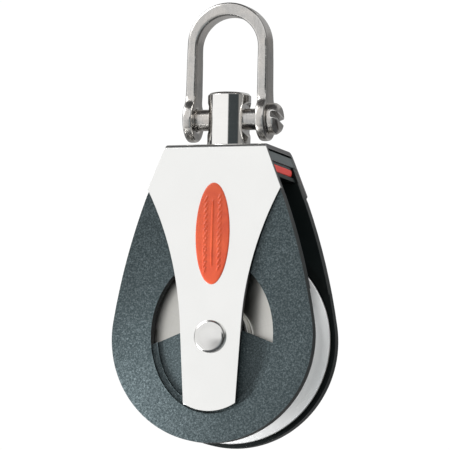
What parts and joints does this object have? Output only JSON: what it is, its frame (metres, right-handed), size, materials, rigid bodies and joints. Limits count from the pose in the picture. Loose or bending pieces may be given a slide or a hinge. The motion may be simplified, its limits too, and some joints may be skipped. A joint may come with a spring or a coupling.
{
  "type": "sheave block",
  "caption": "Swivel-head sheave block: a grooved wheel on ball bearings between moulded cheeks, in a stainless load strap with a swivel post and bow shackle.",
  "frame": {"origin": "centre of the sheave, on the axle's axis, midway between the cheeks", "axes": "+Z from the axle towards the shackle, +Y along the axle from the front cheek to the rear cheek, +X to the right seen from the front"},
  "size_m": [0.0776, 0.0398, 0.1643],
  "materials": {
    "polished_strap": "polished",
    "cheek_plastic": "fine texture",
    "head_plastic": "satin",
    "sheave_metal": "turned satin",
    "polished_steel": "polished",
    "cast_steel": "tumbled satin",
    "bearing_steel": "ground",
    "ball_plastic": "smooth",
    "bush_plastic": "smooth",
    "orange_badge": "domed gloss",
    "orange_clip": "smooth"
  },
  "bodies": {
    "frame": {"load_strap": "polished_strap", "front_cheek": "cheek_plastic", "rear_cheek": "cheek_plastic", "head_spacer": "head_plastic", "axle_pin": "polished_steel", "axle_screw": "polished_steel", "front_badge": "orange_badge", "rear_badge": "orange_badge", "inner_race": "bearing_steel", "front_hub_washer": "bearing_steel", "rear_hub_washer": "bearing_steel", "swivel_bush": "bush_plastic", "swivel_washer": "bearing_steel"},
    "sheave": {"sheave": "sheave_metal", "front_race_cap": "bearing_steel", "rear_race_cap": "bearing_steel"},
    "ball_rows": {"front_balls": "ball_plastic", "rear_balls": "ball_plastic"},
    "swivel": {"swivel_post": "polished_steel"},
    "lock_clip": {"lock_clip": "orange_clip"},
    "shackle": {"shackle_bow": "cast_steel"},
    "shackle_pin": {"shackle_pin": "cast_steel"}
  },
  "joints": [
    {"name": "sheave_spin", "type": "hinge", "parent": "frame", "child": "sheave", "pos_m": [0, 0, 0], "axis": [0, 1, 0], "continuous": true},
    {"name": "ball_orbit", "type": "hinge", "parent": "frame", "child": "ball_rows", "pos_m": [0, 0, 0], "axis": [0, 1, 0], "continuous": true},
    {"name": "post_swivel", "type": "hinge", "parent": "frame", "child": "swivel", "pos_m": [0, 0, 0.0713], "axis": [0, 0, 1], "continuous": true},
    {"name": "shackle_tilt", "type": "hinge", "parent": "swivel", "child": "shackle", "pos_m": [0, 0, 0.082], "axis": [1, 0, 0], "range_deg": [-100, 100]},
    {"name": "shackle_pin_slide", "type": "slide", "parent": "shackle", "child": "shackle_pin", "axis": [1, 0, 0], "range_m": [0, 0.032]},
    {"name": "clip_slide", "type": "slide", "parent": "frame", "child": "lock_clip", "axis": [1, 0, 0], "range_m": [0, 0.012]}
  ],
  "couplings": [
    {"joint": "ball_orbit", "follows": "sheave_spin", "ratio": 0.6163}
  ]
}
